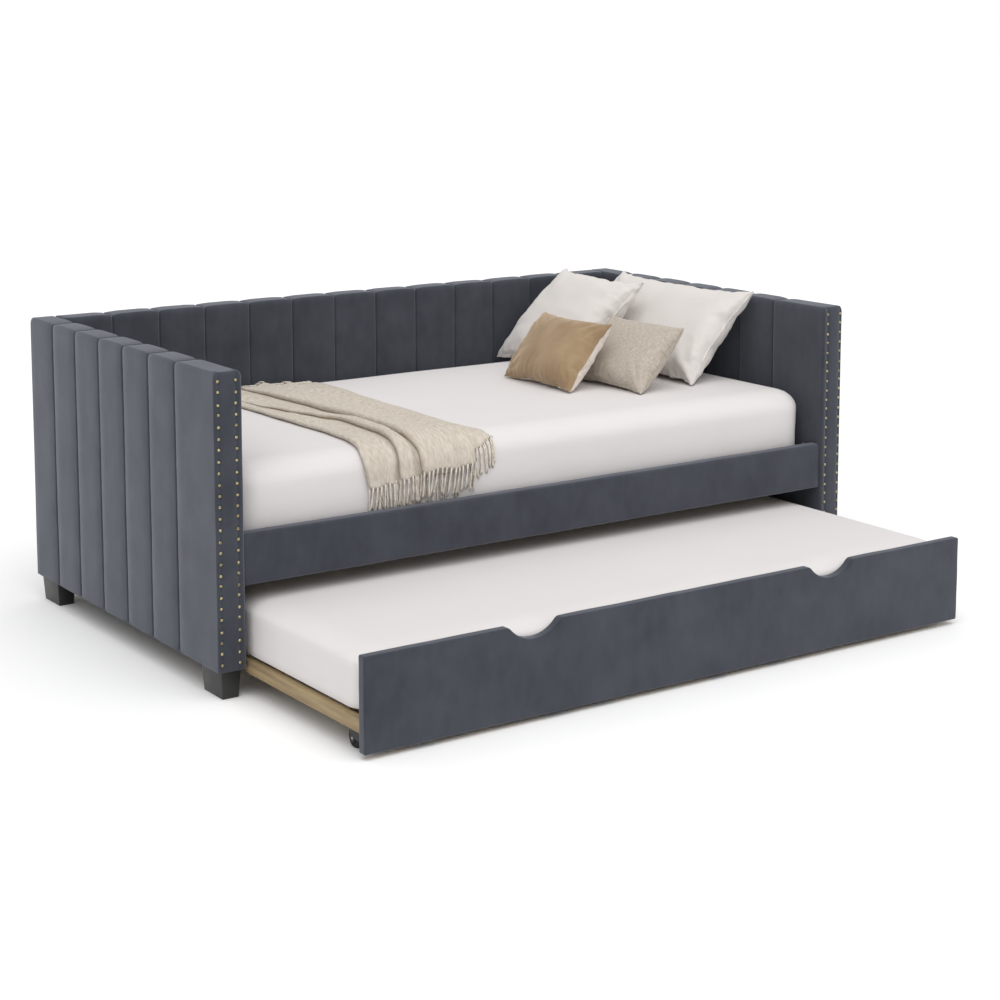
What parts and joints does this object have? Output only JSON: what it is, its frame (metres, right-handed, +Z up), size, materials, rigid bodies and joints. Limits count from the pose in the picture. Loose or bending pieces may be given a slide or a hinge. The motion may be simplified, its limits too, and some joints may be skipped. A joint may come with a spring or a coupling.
{
  "type": "trundle bed",
  "caption": "Upholstered daybed with channelled velvet arms and back, bedding, and a second bed that rolls out from under it on swivel casters.",
  "frame": {"origin": "on the floor, under the middle of the whole object with the trundle pulled out as at rest", "axes": "+Z up, +X along the length to the right seen from the front, front faces -Y"},
  "size_m": [2.082, 1.71, 0.8538],
  "materials": {
    "grey_velvet": "short-pile blue-grey velvet over foam",
    "frame_timber": "sawn pine and board",
    "antique_brass": "antique brass nailheads",
    "black_lacquer": "black satin lacquer",
    "fitted_sheet": "off-white cotton sheet",
    "pillow_cotton": "white cotton percale",
    "gold_velvet": "champagne gold velvet",
    "beige_weave": "beige slub weave",
    "throw_wool": "cream woven throw with twisted fringe",
    "webbing": "polyester webbing",
    "caster_rubber": "black rubber tread",
    "caster_black": "black powder coat",
    "zinc_steel": "zinc plated steel",
    "pale_timber": "light planed pine"
  },
  "bodies": {
    "bed": {"back_bolts": "zinc_steel", "back_cover": "grey_velvet", "back_frame": "frame_timber", "beige_cushion": "beige_weave", "bracket_screws": "zinc_steel", "daybed_mattress": "fitted_sheet", "front_rail_board": "frame_timber", "front_rail_cover": "grey_velvet", "gold_cushion": "gold_velvet", "left_arm_cover": "grey_velvet", "left_arm_frame": "frame_timber", "left_arm_nails": "antique_brass", "leg_bolts": "zinc_steel", "leg_front_left": "black_lacquer", "leg_front_right": "black_lacquer", "leg_rear_left": "black_lacquer", "leg_rear_right": "black_lacquer", "rail_bracket_left": "zinc_steel", "rail_bracket_right": "zinc_steel", "right_arm_cover": "grey_velvet", "right_arm_frame": "frame_timber", "right_arm_nails": "antique_brass", "slat_ledgers": "pale_timber", "slat_webbing": "webbing", "slats": "pale_timber", "throw": "throw_wool", "white_pillow_front": "pillow_cotton", "white_pillow_rear": "pillow_cotton"},
    "trundle": {"caster_plate_front_left": "caster_black", "caster_plate_front_right": "caster_black", "caster_plate_rear_left": "caster_black", "caster_plate_rear_right": "caster_black", "caster_plate_screws": "zinc_steel", "panel_screws": "zinc_steel", "trundle_back_rail": "pale_timber", "trundle_centre_bar": "pale_timber", "trundle_corner_blocks": "pale_timber", "trundle_front_board": "frame_timber", "trundle_front_cover": "grey_velvet", "trundle_inner_rail": "pale_timber", "trundle_mattress": "fitted_sheet", "trundle_side_rail_left": "pale_timber", "trundle_side_rail_right": "pale_timber", "trundle_slat_ledgers": "pale_timber", "trundle_slats": "pale_timber"},
    "fork_front_left": {"caster_fork_front_left": "caster_black", "caster_axle_front_left": "zinc_steel"},
    "wheel_front_left": {"caster_wheel_front_left": "caster_rubber"},
    "fork_front_right": {"caster_fork_front_right": "caster_black", "caster_axle_front_right": "zinc_steel"},
    "wheel_front_right": {"caster_wheel_front_right": "caster_rubber"},
    "fork_rear_left": {"caster_fork_rear_left": "caster_black", "caster_axle_rear_left": "zinc_steel"},
    "wheel_rear_left": {"caster_wheel_rear_left": "caster_rubber"},
    "fork_rear_right": {"caster_fork_rear_right": "caster_black", "caster_axle_rear_right": "zinc_steel"},
    "wheel_rear_right": {"caster_wheel_rear_right": "caster_rubber"}
  },
  "joints": [
    {"name": "trundle_slide", "type": "slide", "parent": "bed", "child": "trundle", "axis": [0, -1, 0], "range_m": [-0.552, 0.6]},
    {"name": "swivel_front_left", "type": "hinge", "parent": "trundle", "child": "fork_front_left", "pos_m": [-0.922, -0.775, 0.054], "axis": [0, 0, 1], "continuous": true},
    {"name": "roll_front_left", "type": "hinge", "parent": "fork_front_left", "child": "wheel_front_left", "pos_m": [-0.922, -0.757, 0.024], "axis": [1, 0, 0], "continuous": true},
    {"name": "swivel_front_right", "type": "hinge", "parent": "trundle", "child": "fork_front_right", "pos_m": [0.922, -0.775, 0.054], "axis": [0, 0, 1], "continuous": true},
    {"name": "roll_front_right", "type": "hinge", "parent": "fork_front_right", "child": "wheel_front_right", "pos_m": [0.922, -0.757, 0.024], "axis": [1, 0, 0], "continuous": true},
    {"name": "swivel_rear_left", "type": "hinge", "parent": "trundle", "child": "fork_rear_left", "pos_m": [-0.922, 0.133, 0.054], "axis": [0, 0, 1], "continuous": true},
    {"name": "roll_rear_left", "type": "hinge", "parent": "fork_rear_left", "child": "wheel_rear_left", "pos_m": [-0.922, 0.151, 0.024], "axis": [1, 0, 0], "continuous": true},
    {"name": "swivel_rear_right", "type": "hinge", "parent": "trundle", "child": "fork_rear_right", "pos_m": [0.922, 0.133, 0.054], "axis": [0, 0, 1], "continuous": true},
    {"name": "roll_rear_right", "type": "hinge", "parent": "fork_rear_right", "child": "wheel_rear_right", "pos_m": [0.922, 0.151, 0.024], "axis": [1, 0, 0], "continuous": true}
  ]
}
